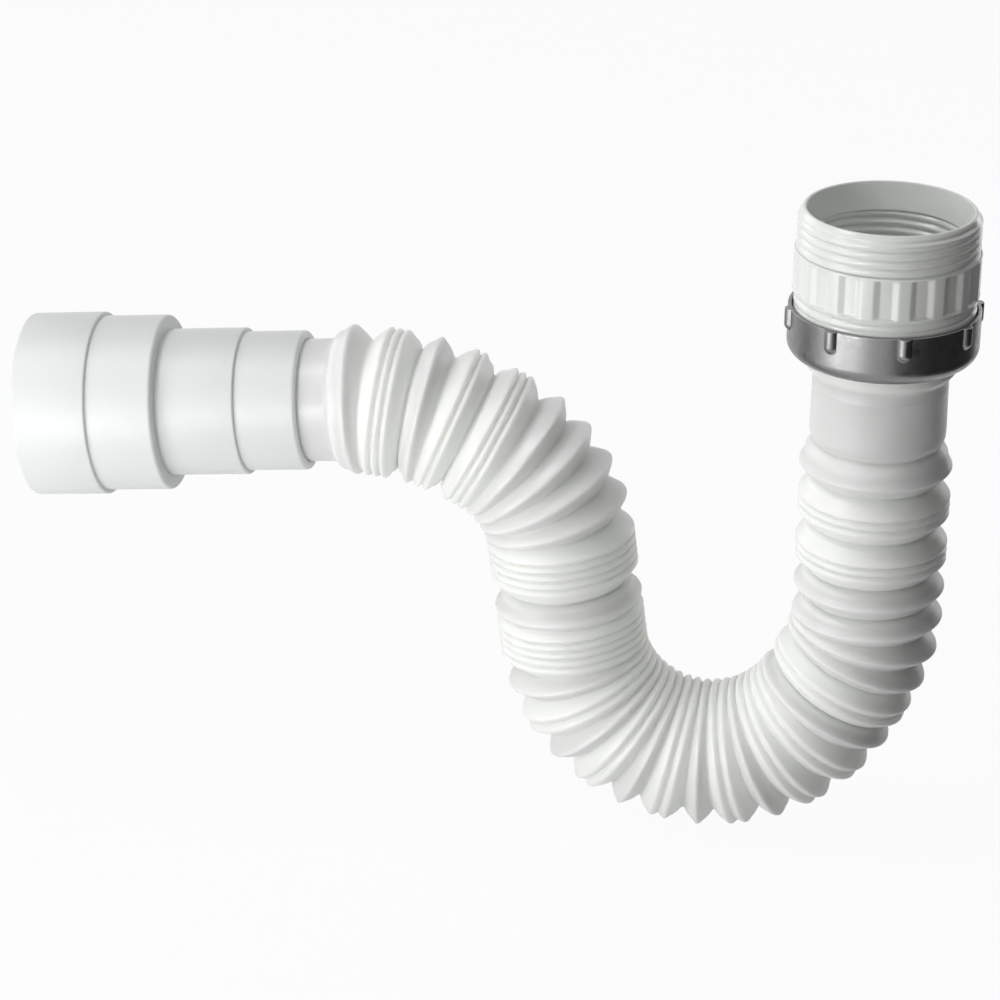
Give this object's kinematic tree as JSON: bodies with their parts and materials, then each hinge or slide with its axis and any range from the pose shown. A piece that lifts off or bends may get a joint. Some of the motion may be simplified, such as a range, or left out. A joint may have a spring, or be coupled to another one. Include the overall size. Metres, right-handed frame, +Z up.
{
  "type": "flexible sink trap",
  "caption": "Flexible corrugated sink trap with a threaded inlet adapter, a lugged union nut, a bellows pipe set in an S bend and a stepped outlet spigot.",
  "frame": {"origin": "on the inlet axis, at the shoulder between the inlet's upper thread and its collar", "axes": "+Z up along the inlet axis; the pipe's centre line lies in the XZ plane and the outlet points towards -X"},
  "size_m": [0.258, 0.0514, 0.183],
  "materials": {
    "adapter_plastic": "glossy white moulded plastic",
    "nut_metal": "satin grey die-cast zinc",
    "washer_rubber": "black rubber",
    "pipe_plastic": "white blow-moulded plastic",
    "outlet_plastic": "satin white moulded plastic"
  },
  "bodies": {
    "pipe": {"flexible_pipe": "pipe_plastic", "seal_washer": "washer_rubber"},
    "nut": {"union_nut": "nut_metal"},
    "adapter": {"inlet_adapter": "adapter_plastic"},
    "outlet": {"stepped_outlet": "outlet_plastic"}
  },
  "joints": [
    {"name": "nut_turn", "type": "hinge", "parent": "pipe", "child": "nut", "pos_m": [0, 0, -0.02231], "axis": [0, 0, -1], "range_deg": [0, 1080]},
    {"name": "adapter_lift", "type": "slide", "parent": "pipe", "child": "adapter", "axis": [0, 0, 1], "range_m": [0, 0.00693]},
    {"name": "outlet_bend", "type": "hinge", "parent": "pipe", "child": "outlet", "pos_m": [-0.1216, 0, -0.0547], "axis": [0, 1, 0], "range_deg": [-20, 30], "deforming": ["flexible_pipe"]}
  ],
  "couplings": [
    {"joint": "adapter_lift", "follows": "nut_turn", "m_per_rad": 0.00036749}
  ]
}
